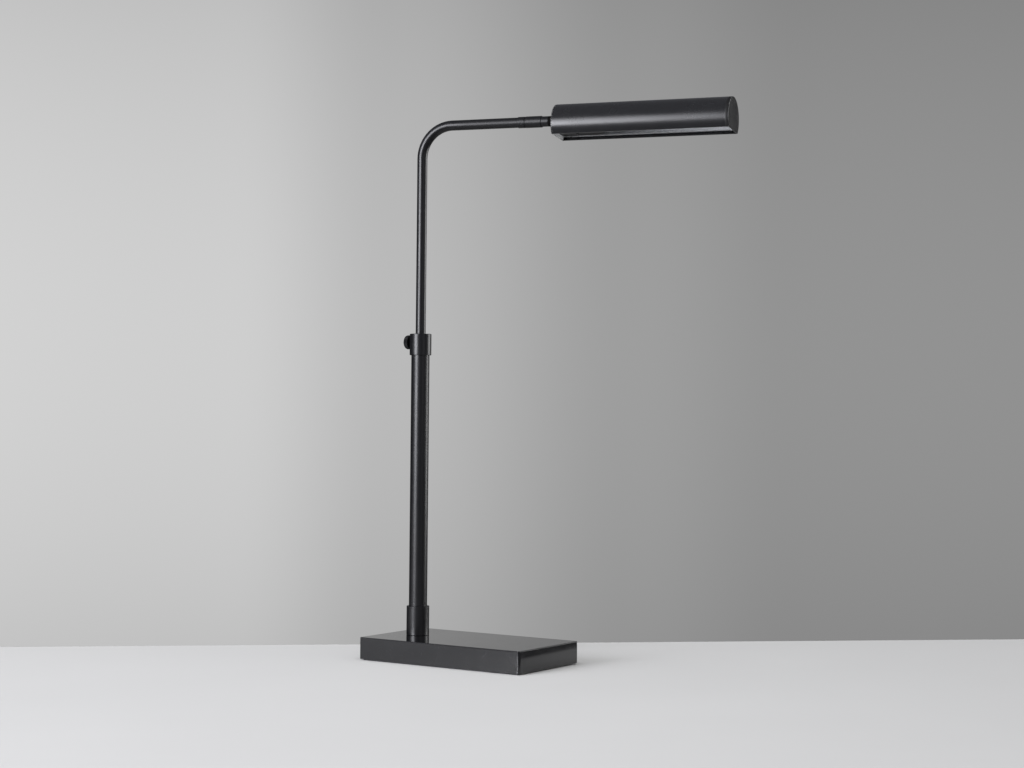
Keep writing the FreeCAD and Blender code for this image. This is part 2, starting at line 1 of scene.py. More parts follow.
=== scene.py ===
# %% [markdown]
# # Dressing a piano lamp
# The lamp stands on a weighted slab. A pole rises from one end of it, a thinner tube
# telescopes in the pole and bends over into an arm, and a trough shade rolls about the
# arm's end. All of that comes from the CAD frame, already in place and at its real size.
# What is missing is how it looks: the satin coating, the polished base, the knurling on
# the thumbscrew and the drives of the small screws. This script adds them, one at a time.
#
# The frame has to be loaded before anything else, because every later size is read from it.

# %% Load the frame
import json
import math

import bpy
import numpy as np
from mathutils import Matrix, Vector


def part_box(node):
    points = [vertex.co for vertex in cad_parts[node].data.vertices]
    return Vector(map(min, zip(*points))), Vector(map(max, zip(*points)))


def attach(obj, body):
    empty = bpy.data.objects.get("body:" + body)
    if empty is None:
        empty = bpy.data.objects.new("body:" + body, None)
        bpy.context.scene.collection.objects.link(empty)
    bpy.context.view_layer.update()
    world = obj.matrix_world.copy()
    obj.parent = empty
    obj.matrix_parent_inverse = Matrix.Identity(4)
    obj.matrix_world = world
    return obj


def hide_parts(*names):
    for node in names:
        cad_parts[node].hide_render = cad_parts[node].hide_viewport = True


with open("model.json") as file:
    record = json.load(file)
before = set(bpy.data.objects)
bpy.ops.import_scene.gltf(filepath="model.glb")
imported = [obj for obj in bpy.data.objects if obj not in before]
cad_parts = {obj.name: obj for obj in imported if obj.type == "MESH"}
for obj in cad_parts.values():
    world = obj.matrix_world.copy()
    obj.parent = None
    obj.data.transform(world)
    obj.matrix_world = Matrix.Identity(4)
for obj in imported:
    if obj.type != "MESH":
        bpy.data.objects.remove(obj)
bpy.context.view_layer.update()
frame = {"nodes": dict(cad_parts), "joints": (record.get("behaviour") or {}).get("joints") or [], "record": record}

NODES = frame["nodes"]

# %% [markdown]
# ## Where things are
# Sizes are metres. A turned piece is fully described by its axis and its box, so the
# frame's boxes give every radius and level that the later cells need. The shade hangs at
# a slant, so its own three directions come from the joints instead: along the arm, up
# through the shade and across it.

# %% Levels, radii and directions read from the frame
MM = 0.001
MICRON = 0.001 * MM


def joint_named(name):
    """The record's joint with that name: its axis, place and limits."""
    return next(j for j in frame["joints"] if j["name"] == name)


def centre_of(node):
    """Middle of a node's box: half the sum of its lowest and highest corners."""
    low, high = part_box(node)
    return (low + high) / 2


arm_axis = Vector(joint_named("head_roll")["axis"]).normalized()
head_up = Vector(joint_named("switch_press")["axis"]).normalized()
head_side = head_up.cross(arm_axis).normalized()


def reach_of(node, direction):
    """Nearest and farthest distance of a node's own vertices along a direction."""
    mesh = NODES[node].data
    places = np.empty(len(mesh.vertices) * 3)
    mesh.vertices.foreach_get("co", places)
    along = places.reshape(-1, 3) @ np.array(direction)
    return float(along.min()), float(along.max())


def new_object(name, data):
    """An object in the scene that shows some data, such as a mesh or a lamp."""
    thing = bpy.data.objects.new(name, data)
    bpy.context.scene.collection.objects.link(thing)
    return thing


shell_start, shell_end = reach_of("shade_shell", arm_axis)
cover_end = reach_of("switch_cover", arm_axis)[1]
print("arm axis", [round(v, 4) for v in arm_axis], "head up", [round(v, 4) for v in head_up])
print("shade along the arm, mm:", [round(v / MM, 1) for v in (shell_start, shell_end)])

# %% [markdown]
# ## The camera
# A product shot like this is taken from a little above the base with a long lens, so that
# upright tubes stay upright. The camera is set by its place and three turns: azimuth round
# the lamp, pitch above the horizon and a slight roll. It comes first, because the lights
# and the backdrop are placed by what it sees.

# %% Camera
CAMERA_PLACE = Vector((1.47944, -2.04069, 0.3215))
CAMERA_AZIMUTH = math.radians(33.303)
CAMERA_PITCH = math.radians(0.553)
CAMERA_ROLL = math.radians(0.546)
FOCAL_LENGTH = 70.06

level_right = Vector((math.cos(CAMERA_AZIMUTH), math.sin(CAMERA_AZIMUTH), 0))
level_forward = Vector((-math.sin(CAMERA_AZIMUTH), math.cos(CAMERA_AZIMUTH), 0))
up = Vector((0, 0, 1))
pitched_forward = level_forward * math.cos(CAMERA_PITCH) + up * math.sin(CAMERA_PITCH)
pitched_up = up * math.cos(CAMERA_PITCH) - level_forward * math.sin(CAMERA_PITCH)
rolled_right = level_right * math.cos(CAMERA_ROLL) + pitched_up * math.sin(CAMERA_ROLL)
rolled_up = pitched_up * math.cos(CAMERA_ROLL) - level_right * math.sin(CAMERA_ROLL)

camera_data = bpy.data.cameras.new("camera")
camera_data.sensor_width = 36.0
camera_data.lens = FOCAL_LENGTH
camera_data.clip_start = 0.05
camera_data.clip_end = 60.0
camera = new_object("camera", camera_data)
turn = Matrix((rolled_right, rolled_up, -pitched_forward)).transposed()
camera.matrix_world = Matrix.Translation(CAMERA_PLACE) @ turn.to_4x4()
bpy.context.scene.camera = camera
bpy.context.scene.view_settings.view_transform = "Standard"
print("camera", round((CAMERA_PLACE - centre_of("shade_shell")).length, 3), "m from the shade")

# %% [markdown]
# ## A small kit for shader nodes
# A finish is a small net of nodes. A few short helpers keep each one readable: they add a
# node, link two sockets, do one step of arithmetic, mix two colours, read a noise of a
# given grain size, or spread a value between two ends. Grain sizes are real sizes, because
# the patterns are read at the object's own coordinates in metres. The last helper puts a
# finish together from its colour, roughness and bumps.

# %% Node helpers
def add_node(tree, kind, **values):
    """A node with its properties or input sockets set by name."""
    node = tree.nodes.new(kind)
    for key, value in values.items():
        if hasattr(node, key) and key not in node.inputs:
            setattr(node, key, value)
        else:
            node.inputs[key].default_value = value
    return node


def join(tree, source, target):
    """A link from one socket to another."""
    tree.links.new(target, source)


def grey(value):
    """An opaque grey colour of one brightness."""
    return (value, value, value, 1.0)


def sum_of(tree, source, factor, offset):
    """source times factor plus offset."""
    node = add_node(tree, "ShaderNodeMath", operation="MULTIPLY_ADD")
    node.inputs[1].default_value = factor
    node.inputs[2].default_value = offset
    join(tree, source, node.inputs[0])
    return node.outputs[0]


def combined(tree, operation, first, second):
    """Two sockets put through one arithmetic step, such as MULTIPLY or ADD."""
    node = add_node(tree, "ShaderNodeMath", operation=operation)
    join(tree, first, node.inputs[0])
    join(tree, second, node.inputs[1])
    return node.outputs[0]


def spread(tree, source, from_low, from_high, to_low=0.0, to_high=1.0, smooth=False):
    """source between two values, carried over to between two others and held at the ends."""
    node = add_node(tree, "ShaderNodeMapRange")
    node.interpolation_type = "SMOOTHSTEP" if smooth else "LINEAR"
    for place, value in enumerate((from_low, from_high, to_low, to_high), start=1):
        node.inputs[place].default_value = value
    join(tree, source, node.inputs[0])
    return node.outputs[0]


def mixed(tree, share, first, second):
    """A colour between two: each is a tuple of three or four values, or a socket."""
    node = add_node(tree, "ShaderNodeMix", data_type="RGBA")
    join(tree, share, node.inputs["Factor"])
    for name, colour in (("A", first), ("B", second)):
        # a colour mix has inputs of several types that share one name
        socket = next(s for s in node.inputs if s.name == name and s.type == "RGBA")
        if isinstance(colour, tuple):
            socket.default_value = (*colour, 1.0)[:4]
        else:
            join(tree, colour, socket)
    return next(s for s in node.outputs if s.type == "RGBA")


def distance_along(tree, direction, coordinates="Object"):
    """Dot product of the place, or of the world's direction, with a fixed direction."""
    place = add_node(tree, "ShaderNodeTexCoord")
    dot = add_node(tree, "ShaderNodeVectorMath", operation="DOT_PRODUCT")
    dot.inputs[1].default_value = direction
    join(tree, place.outputs[coordinates], dot.inputs[0])
    return dot.outputs["Value"]


def noise(tree, size, detail=2.0, stretch=(1.0, 1.0, 1.0)):
    """Noise of one grain size in metres, longer along an axis by its stretch."""
    place = add_node(tree, "ShaderNodeTexCoord")
    squeeze = add_node(tree, "ShaderNodeMapping")
    squeeze.inputs["Scale"].default_value = tuple(1.0 / s for s in stretch)
    grain = add_node(tree, "ShaderNodeTexNoise", Scale=1.0 / size, Detail=detail)
    join(tree, place.outputs["Object"], squeeze.inputs["Vector"])
    join(tree, squeeze.outputs["Vector"], grain.inputs["Vector"])
    return grain.outputs[0]


def raised(tree, surface, *layers):
    """Bumps, one on another: each layer is a height socket and its depth in metres."""
    last = None
    for height, depth in layers:
        bump = add_node(tree, "ShaderNodeBump", Strength=1.0, Distance=depth)
        join(tree, height, bump.inputs["Height"])
        if last is not None:
            join(tree, last, bump.inputs["Normal"])
        last = bump.outputs["Normal"]
    join(tree, last, surface.inputs["Normal"])


def new_finish(name, **sockets):
    """An empty finish: its material, its node tree and its surface, with fixed sockets set."""
    material = bpy.data.materials.new(name)
    material.use_nodes = True
    tree = material.node_tree
    surface = tree.nodes["Principled BSDF"]
    for key, value in sockets.items():
        surface.inputs[key.replace("_", " ")].default_value = value
    return material, tree, surface


def dressed(finish, share, first, second, rough, *layers):
    """A finish with its colour between two by a share, its roughness and its bumps."""
    material, tree, surface = finish
    join(tree, mixed(tree, share, first, second), surface.inputs["Base Color"])
    join(tree, rough, surface.inputs["Roughness"])
    raised(tree, surface, *layers)
    return material


# %% [markdown]
# ## The surround
# A black lamp is drawn by what it mirrors, so most of the light is there to be mirrored.
# The surround has three faces. To the camera it is a grey wall, lighter on the left. To
# the metal it is a darker copy of that wall, low and behind the lamp, in an otherwise dark
# room, which keeps the tubes black between their highlights. To matt surfaces it is a pale
# studio in front, so that the floor is bright and the shadows fall backwards.
#
# The surround's brightness changes with the direction looked in, never with the camera, so
# it stays put when the camera goes round.

# %% Surround
def ramp_of(tree, source, points):
    """A grey ramp over a source from -1 to 1, through (place, value) points."""
    ramp = add_node(tree, "ShaderNodeValToRGB")
    ramp.color_ramp.interpolation = "EASE"
    stops = ramp.color_ramp.elements
    for stop, (place, value) in zip(stops, (points[0], points[-1])):
        stop.position, stop.color = (place + 1) / 2, grey(value)
    for place, value in points[1:-1]:
        stops.new((place + 1) / 2).color = grey(value)
    join(tree, sum_of(tree, source, 0.5, 0.5), ramp.inputs["Fac"])
    return ramp.outputs["Color"]


WALL_ACROSS = [
    (-0.40, 0.68), (-0.14, 0.62), (-0.06, 0.49), (0.06, 0.34), (0.14, 0.29), (0.50, 0.26)]
MIRROR_ACROSS = [
    (-0.55, 0.04), (-0.22, 0.10), (-0.10, 0.47), (0.06, 0.315), (0.30, 0.28), (0.60, 0.08),
    (0.88, 0.05)]
STUDIO_AHEAD = [(-1.0, 0.70), (0.0, 0.50), (0.6, 0.10), (1.0, 0.10)]
ROOM_COLOUR = (0.190, 0.192, 0.210)
UPPER_COLOUR = (0.180, 0.182, 0.200)
WALL_FOOT = 0.14
WALL_HEAD = 0.27
WALL_AHEAD = 0.45
BRIGHT_HEIGHT = 0.035
FALL_OFF = -6.0
DIMMEST = 0.5


def world_surround():
    """Brightness by direction, with one surround for each kind of ray.

    The share across is the dot product of the direction with the camera's level right,
    the share ahead its dot product with level forward, and the height its upward part.
    Camera rays: wall(across) times 1 - 6 (height - 0.035)^2, at least half.
    Glossy rays: a dark room, mixed with mirror(across) where ahead is positive and height
    small.
    Other rays: studio(ahead).
    """
    world = bpy.data.worlds.new("surround")
    world.use_nodes = True
    tree = world.node_tree
    tree.nodes.clear()
    across = distance_along(tree, level_right, "Generated")
    ahead = distance_along(tree, level_forward, "Generated")
    height = distance_along(tree, up, "Generated")

    above = sum_of(tree, height, 1.0, -BRIGHT_HEIGHT)
    fading = sum_of(tree, combined(tree, "MULTIPLY", above, above), FALL_OFF, 1.0)
    wall = add_node(tree, "ShaderNodeVectorMath", operation="SCALE")
    join(tree, ramp_of(tree, across, WALL_ACROSS), wall.inputs[0])
    join(tree, spread(tree, fading, DIMMEST, 1.0, DIMMEST, 1.0), wall.inputs["Scale"])

    low = spread(tree, height, WALL_FOOT, WALL_HEAD, 1.0, 0.0, smooth=True)
    behind = spread(tree, ahead, 0.0, WALL_AHEAD, smooth=True)
    back = mixed(tree, low, UPPER_COLOUR, ramp_of(tree, across, MIRROR_ACROSS))
    room = mixed(tree, behind, ROOM_COLOUR, back)

    light = add_node(tree, "ShaderNodeLightPath")
    studio = ramp_of(tree, ahead, STUDIO_AHEAD)
    glossy = mixed(tree, light.outputs["Is Glossy Ray"], studio, room)
    seen = mixed(tree, light.outputs["Is Camera Ray"], glossy, wall.outputs[0])
    shine = add_node(tree, "ShaderNodeBackground")
    out = add_node(tree, "ShaderNodeOutputWorld")
    join(tree, seen, shine.inputs["Color"])
    join(tree, shine.outputs["Background"], out.inputs["Surface"])
    bpy.context.scene.world = world


world_surround()

# %% [markdown]
# ## The lamps
# A tall key light to the left of the camera gives the long highlight down the tubes and
# along the shade. It is built of panels, because it is not even: it is strongest a little
# above the table, and fades upwards and to the left. Each panel is given by its left and
# right edge, its lower and upper edge and its radiance.
#
# The other lamps are given by their place, the point they face, their width and height,
# their radiance and who sees them. The strip behind on the right draws the far edges, and
# a faint panel in front on the right softens the dark ends: both are hidden from matt
# surfaces. The light from above only fills the floor and is hidden from reflections.

# %% Lamps
def soft_box(name, centre, aim, width, height, radiance, mirrored=True, filling=True):
    """An area lamp at centre that faces aim. Its power is radiance times pi times its area."""
    data = bpy.data.lights.new(name, "AREA")
    data.shape = "RECTANGLE"
    data.size = width
    data.size_y = height
    data.energy = radiance * math.pi * width * height
    lamp = new_object(name, data)
    lamp.location = centre
    lamp.rotation_mode = "QUATERNION"
    lamp.rotation_quaternion = (Vector(aim) - Vector(centre)).to_track_quat("-Z", "Y")
    lamp.visible_camera = False
    lamp.visible_glossy = mirrored
    lamp.visible_diffuse = filling
    return lamp


KEY_DISTANCE = -3.9
KEY_COLOUR = (0.985, 0.990, 1.050)
KEY_PANELS = {
    "key_low": (-2.07, -0.16, 0.02, 0.25, 5.0),
    "key_strong": (-2.07, -0.16, 0.25, 1.35, 18.0),
    "key_middle": (-2.07, -0.16, 1.35, 2.00, 11.0),
    "key_high": (-2.07, -0.16, 2.00, 2.60, 5.5),
    "key_side": (-3.80, -2.10, 0.20, 2.00, 1.5),
    "key_fade": (-0.14, 0.30, 0.25, 2.00, 2.5),
}
MIRRORED_ONLY = (True, False)
FILLING_ONLY = (False, True)
OTHER_LAMPS = {
    "rim_right": ((1.25, 1.495, 0.82), (0.0, 0.0, 0.82), 0.915, 1.57, 5.6, *MIRRORED_ONLY),
    "fill_right": ((2.90, -1.05, 1.00), (0.0, 0.0, 1.00), 0.95, 1.80, 0.45, *MIRRORED_ONLY),
    "overhead": ((0.2, -0.5, 2.6), (0.1, 0.0, 0.0), 2.6, 2.6, 1.30, *FILLING_ONLY),
}

for name, (left, right, bottom, top, radiance) in KEY_PANELS.items():
    x, z = (left + right) / 2, (bottom + top) / 2
    panel = soft_box(
        name, (x, KEY_DISTANCE, z), (x, 0.0, z), right - left, top - bottom, radiance)
    panel.data.color = KEY_COLOUR
for name, values in OTHER_LAMPS.items():
    soft_box(name, *values)
print("lamps:", ", ".join([*KEY_PANELS, *OTHER_LAMPS]))

# %% [markdown]
# ## The floor
# The table top is a white sheet with faint clouds. Its back edge lies a little behind the
# mast and slants away. Only the camera finds it a little greyer. Mirror rays find it
# slightly glossy, and darker over four patches of painted shade: far in front, along the
# left, beside the base's right end and beyond that, so the lamp's gloss mirrors shade
# there. A patch is given by the two distances between which it fades.

# %% Floor
FLOOR_BACK = 0.139
FLOOR_SLANT = 0.142
FLOOR_REACH = 4.0
FLOOR_HALF = 3.0
FLOOR_ROUGH = 0.32
FLOOR_GLOSS = 0.15
FLOOR_CLOUD = 0.35
SEEN_GREYS = (0.65, 0.685)
MIRRORED_GREYS = (0.78, 0.82)
# painted shade that only mirror rays see, in four patches on the floor
MIRRORED_SHADE_GREY = 0.14
FRONT_SHADE = (-0.36, -0.22)
LEFT_SHADE, LEFT_SHARE = (-0.02, 0.15), 0.35
SIDE_SHADE, SIDE_AHEAD, SIDE_SHARES = (0.185, 0.205), (-0.16, -0.03), (0.45, 0.10)
FAR_SHADE, FAR_DIRECTION = (0.245, 0.285), (0.99, -0.14, 0)


def floor_finish():
    """Clouded white, mixed with a painted shade grey by the largest patch's share for glossy rays."""
    material, tree, surface = new_finish("floor_white", Roughness=FLOOR_ROUGH)
    light = add_node(tree, "ShaderNodeLightPath")
    mirrored = light.outputs["Is Glossy Ray"]
    cloudy = noise(tree, FLOOR_CLOUD, 3.0)
    pale = mixed(
        tree, light.outputs["Is Camera Ray"],
        *(mixed(tree, cloudy, *map(grey, greys)) for greys in (MIRRORED_GREYS, SEEN_GREYS)))
    ahead = distance_along(tree, level_forward)
    along = distance_along(tree, (1, 0, 0))
    front = spread(tree, ahead, *FRONT_SHADE, 1.0, 0.0, smooth=True)
    beside = spread(tree, along, *SIDE_SHADE)
    shade_patches = front
    for patch in (
            spread(tree, distance_along(tree, FAR_DIRECTION), *FAR_SHADE),
            spread(tree, along, *LEFT_SHADE, LEFT_SHARE, 0.0),
            combined(
                tree, "MULTIPLY", beside, spread(tree, ahead, *SIDE_AHEAD, *SIDE_SHARES))):
        shade_patches = combined(tree, "MAXIMUM", shade_patches, patch)
    # painted shade: glossy rays see the floor darker over the patches
    mirrored_shade = combined(tree, "MULTIPLY", shade_patches, mirrored)
    join(tree, mixed(tree, mirrored_shade, pale, grey(MIRRORED_SHADE_GREY)), surface.inputs["Base Color"])
    matt = combined(tree, "MAXIMUM", front, beside)
    gloss = spread(tree, matt, 0.0, 1.0, FLOOR_GLOSS, 0.0)
    gloss = combined(tree, "MULTIPLY", gloss, mirrored)
    join(tree, gloss, surface.inputs["Specular IOR Level"])
    return material


def floor_plane():
    """A table top: its back edge is FLOOR_BACK behind the mast and slants away."""
    corners = [
        level_right * side + level_forward * ahead
        for side, ahead in (
            (-FLOOR_HALF, -FLOOR_REACH), (FLOOR_HALF, -FLOOR_REACH),
            (FLOOR_HALF, FLOOR_BACK + FLOOR_SLANT * FLOOR_HALF),
            (-FLOOR_HALF, FLOOR_BACK - FLOOR_SLANT * FLOOR_HALF))]
    mesh = bpy.data.meshes.new("floor")
    mesh.from_pydata([tuple(c) for c in corners], [], [(0, 1, 2, 3)])
    mesh.materials.append(floor_finish())
    plane = new_object("floor", mesh)


floor_plane()

# %% [markdown]
# ## Satin black
# The pole, the arm and the shade are sprayed with one satin black. A sprayed coat is never
# a flat colour: it has a fine tooth, a broader orange peel from the way the drops flow
# together, and cloudy patches where it came out a little duller. The first two are bumps,
# the last a change of roughness. The colour is slightly blue, as most blacks are. The
# upright tubes are polished by sliding and by hands, so the arm is duller than the mast.

# %% Satin black
TUBE_COLOUR = (0.0035, 0.0036, 0.0044)
SHADE_COLOUR = (0.0085, 0.0087, 0.0098)
CLOUD = (0.35, 0.65)
GRAIN = (0.3, 0.7)
ARM_START = (0.03, 0.06)
ARM_DULLER = 0.13


def satin_black(name, colour, low, high, ior):
    """Near-black paint: roughness = low..high by a 30 mm cloud, with peel and tooth bumps."""
    finish = new_finish(name, IOR=ior)
    tree = finish[1]
    lighter = tuple(1.3 * share for share in colour)
    rough = spread(tree, noise(tree, 30 * MM, 3.0), *CLOUD, low, high)
    peel = noise(tree, 1.8 * MM, 1.0)
    tooth = noise(tree, 0.35 * MM, 1.0)
    dressed(
        finish, noise(tree, 8 * MM), colour, lighter, rough,
        (peel, 2.5 * MICRON), (tooth, 0.6 * MICRON))
    return finish


def tube_black():
    """Satin black for the tubes: from ARM_START outwards, roughness + ARM_DULLER."""
    material, tree, surface = satin_black("black_satin", TUBE_COLOUR, 0.30, 0.35, 1.46)
    rough = surface.inputs["Roughness"].links[0].from_socket
    duller = spread(tree, distance_along(tree, arm_axis), *ARM_START, 0.0, ARM_DULLER)
    join(tree, combined(tree, "ADD", rough, duller), surface.inputs["Roughness"])
    return material


black_satin = tube_black()
print("satin black:", len(black_satin.node_tree.nodes), "nodes")

# %% [markdown]
# ## The shade: the same paint, with seams
# The shade is a rolled trough with a cap at each end. Where trough and cap meet, a band at
# the right distance along the arm is painted near black and made rougher: painted shade in
# the joint, a fine line at the arm end and a wider band that fades out at the tip. On the
# flat cap at the tip the paint flowed out smoother.
# The inside of the arm-end cap was masked and stays bare, pale metal.

# %% Shade finishes
SEAM_HALF = 0.35 * MM
TIP_SEAM_HALF = 4.0 * MM
SEAM_CORE = 0.2
SEAM_ROUGH = 0.75
# painted shade: the near-black colour that both seams go to
SEAM_SHADE_COLOUR = grey(0.001)
BARE_START = 0.04 * MM


def seam_band(tree, station, half):
    """1 away from a joint and 0 on it: the distance from it over the seam's half width."""
    along = sum_of(tree, distance_along(tree, arm_axis), 1.0, -station)
    apart = add_node(tree, "ShaderNodeMath", operation="ABSOLUTE")
    join(tree, along, apart.inputs[0])
    return spread(tree, apart.outputs[0], SEAM_CORE * half, half, smooth=True)


def shade_black():
    """Satin black that goes near black and to SEAM_ROUGH on both seams: painted shade in the joints."""
    material, tree, surface = satin_black("shade_black", SHADE_COLOUR, 0.24, 0.28, 1.51)
    clear = combined(
        tree, "MULTIPLY", seam_band(tree, shell_start, SEAM_HALF),
        seam_band(tree, shell_end, TIP_SEAM_HALF))
    paint = surface.inputs["Base Color"].links[0].from_socket
    dull = surface.inputs["Roughness"].links[0].from_socket
    # painted shade: near black on both seams, the paint's own colour elsewhere
    join(tree, mixed(tree, clear, SEAM_SHADE_COLOUR, paint), surface.inputs["Base Color"])
    rough = add_node(tree, "ShaderNodeMix")
    rough.inputs[2].default_value = SEAM_ROUGH
    join(tree, clear, rough.inputs[0])
    join(tree, dull, rough.inputs[3])
    join(tree, rough.outputs[0], surface.inputs["Roughness"])
    return material


def cap_black():
    """Shade black outside, and bare brushed metal past the inner face of the arm-end cap."""
    material, tree, surface = satin_black("cap_black", SHADE_COLOUR, 0.26, 0.32, 1.51)
    inside = spread(
        tree, distance_along(tree, arm_axis),
        shell_start - BARE_START, shell_start - 0.5 * BARE_START)
    paint = surface.inputs["Base Color"].links[0].from_socket
    brushed = noise(tree, 0.6 * MM, 2.0, (1.0, 12.0, 1.0))
    bare = mixed(tree, brushed, (0.90, 0.91, 0.92), (0.95, 0.96, 0.97))
    join(tree, mixed(tree, inside, paint, bare), surface.inputs["Base Color"])
    return material


shade_finish = shade_black()
cap_finish = cap_black()
tip_finish = satin_black("tip_black", SHADE_COLOUR, 0.15, 0.20, 1.45)[0]

# %% [markdown]
# ## The base: polished lacquer
# The slab is lacquered and rubbed to a gloss. It mirrors the table and the wall, so its
# finish lies in small faults: faint clouds left by the rubbing, short upright streaks,
# specks of dust, and a dull line where the pad rubbed through the gloss along the upper
# edge of the far end. The gloss is a low roughness, and each fault
# adds to it here and there.

# %% Base lacquer
LACQUER_ROUGH = (0.05, 0.10)
STREAK_ROUGH = 0.04
DUST_ROUGH = 0.20
EDGE_ROUGH = 0.55
EDGE_DROP = (1.3 * MM, 0.9 * MM)
EDGE_INSET = (1.1 * MM, 0.7 * MM)
shell_right, shell_top = (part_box("base_shell")[1][axis] for axis in (0, 2))


def base_lacquer():
    """Glossy near-black: roughness = clouds + streaks + dust + near top times near end."""
    finish = new_finish("black_gloss", IOR=1.60)
    tree = finish[1]
    cloud = noise(tree, 18 * MM, 3.0)
    streak = noise(tree, 1.5 * MM, 2.0, (1.0, 1.0, 14.0))
    dust = noise(tree, 1.1 * MM, 0.0)
    near_top = spread(
        tree, distance_along(tree, up),
        *(shell_top - drop for drop in EDGE_DROP))
    near_end = spread(
        tree, distance_along(tree, (1, 0, 0)),
        *(shell_right - inset for inset in EDGE_INSET), 0.0, EDGE_ROUGH)
    rough = spread(tree, cloud, *CLOUD, *LACQUER_ROUGH)
    for fault in (
            spread(tree, streak, 0.50, 0.72, 0.0, STREAK_ROUGH),
            spread(tree, dust, 0.76, 0.80, 0.0, DUST_ROUGH),
            combined(tree, "MULTIPLY", near_top, near_end)):
        rough = combined(tree, "ADD", rough, fault)
    return dressed(
        finish, cloud, (0.0035, 0.0036, 0.0042), (0.0080, 0.0082, 0.0092), rough,
        (noise(tree, 6 * MM, 1.0), 8 * MICRON), (noise(tree, 1.6 * MM, 1.0), 1.2 * MICRON))


# %% [markdown]
# ## Small black parts
# The thumbscrew is moulded in a hard black plastic, matt in the grooves of its knurling and
# smoother on the crests where fingers touch it. The others are one noise or two, so a table
# serves: the plate over the switch and the button are plastic with spark-eroded pits of
# 0.25 mm, the sleeve between stub and shade is vulcanised fibre, matt with fine lighter
# hairs, and the cord's outlet is soft rubber with patches of paler, duller skin.

# %% Plastics, fibre and rubber
def crest_of(tree):
    """The value between 0 and 1 that a turned piece carries where it gets rubbed."""
    return add_node(tree, "ShaderNodeAttribute", attribute_name="crest").outputs["Fac"]


def knob_black():
    """Moulded black: roughness falls from 0.62 in the grooves to 0.45 on the crests."""
    finish = new_finish("black_knob", Specular_IOR_Level=0.2)
    tree = finish[1]
    crest = crest_of(tree)
    worn = combined(tree, "MULTIPLY", crest, noise(tree, 3 * MM))
    return dressed(
        finish, worn, (0.0025, 0.0025, 0.0030), (0.0080, 0.0080, 0.0090),
        spread(tree, crest, 0.2, 1.0, 0.62, 0.45), (noise(tree, 0.4 * MM, 1.0), 3 * MICRON))


def grained(name, colours, skin, rough, depth, cloud=None, bumps=None, **sockets):
    """Colour by a cloud, roughness by a skin and height by bumps, each its own noise.

    A noise is (size, detail, stretch). Cloud and bumps are the skin where not given.
    """
    finish = new_finish(name, **sockets)
    tree = finish[1]
    grain = noise(tree, *skin)
    share = noise(tree, *cloud) if cloud else grain
    height = noise(tree, *bumps) if bumps else grain
    return dressed(
        finish, share, *colours, spread(tree, grain, *GRAIN, *rough), (height, depth))


PLAIN_BLACKS = {
    "black_plastic": dict(
        colours=((0.016, 0.016, 0.017), (0.024, 0.024, 0.025)), cloud=(10 * MM,),
        skin=(0.25 * MM, 2.0), rough=(0.34, 0.48), depth=5 * MICRON, IOR=1.5),
    "black_fibre": dict(
        colours=((0.0015, 0.0015, 0.0017), (0.0060, 0.0055, 0.0050)),
        skin=(0.5 * MM, 3.0, (8.0, 1.0, 1.0)), rough=(0.60, 0.85), depth=20 * MICRON,
        Specular_IOR_Level=0.05),
    "black_rubber": dict(
        colours=((0.010, 0.010, 0.010), (0.032, 0.032, 0.031)), bumps=(0.3 * MM, 1.0),
        skin=(5 * MM, 3.0), rough=(0.55, 0.75), depth=10 * MICRON, IOR=1.5),
}

# %% [markdown]
# ## The strip in the shade's mouth
# The lamp is off, so the light guide in the mouth shows as a smoky strip with a white dot
# print on its back. The dots grow from small at the switch cover to large at the tip, so
# the strip is painted paler towards the tip: painted light where light falls into the
# mouth, and painted shade at the arm end, in the shade of its cap. The dots are a regular
# grid measured along and across the arm, and a dot's edge lies where the distance to its
# centre equals a radius that grows with the distance along the arm.

# %% Light guide
DOT_PITCH = 1.6 * MM
# the dots' growth paints the strip darker at the arm end and paler at the tip: painted shade and light
DOT_RADII_PAINTED_LIGHT = (0.16, 0.62)
DOT_SOFT = 0.05
GUIDE_CLEAR = (0.022, 0.023, 0.025)
GUIDE_WHITE = (0.74, 0.77, 0.81)


def opal_guide():
    """Dots of radius 0.16..0.62 pitch, growing from the switch cover to the tip: painted shade and light."""
    finish = new_finish("opal_diffuser", IOR=1.49)
    tree = finish[1]
    along = distance_along(tree, arm_axis)
    place = add_node(tree, "ShaderNodeCombineXYZ")
    join(tree, along, place.inputs[0])
    join(tree, distance_along(tree, head_side), place.inputs[1])
    dots = add_node(
        tree, "ShaderNodeTexVoronoi", voronoi_dimensions="2D",
        Scale=1.0 / DOT_PITCH, Randomness=0.0)
    join(tree, place.outputs[0], dots.inputs["Vector"])
    radius = spread(tree, along, cover_end, shell_end, *DOT_RADII_PAINTED_LIGHT)
    inside = combined(tree, "SUBTRACT", radius, dots.outputs["Distance"])
    printed = spread(tree, inside, -DOT_SOFT, DOT_SOFT, smooth=True)
    rough = spread(tree, noise(tree, 12 * MM), *CLOUD, 0.18, 0.24)
    return dressed(
        finish, printed, GUIDE_CLEAR, GUIDE_WHITE, rough,
        (noise(tree, 2.5 * MM, 1.0), 4 * MICRON))


# %% [markdown]
# ## Metals and fillings
# Most of these sit inside and show only when the lamp is taken apart, but each still has
# the mark of how it is made. Zinc plate has cells of crystals, and cast iron a sandy skin
# with rusty freckles. In the table, nylon is cloudy with a turned sheen, brass has rings
# from the lathe, the tray is dull aluminium with rolling lines along the arm, and each
# light chip is a yellow phosphor in clear resin.

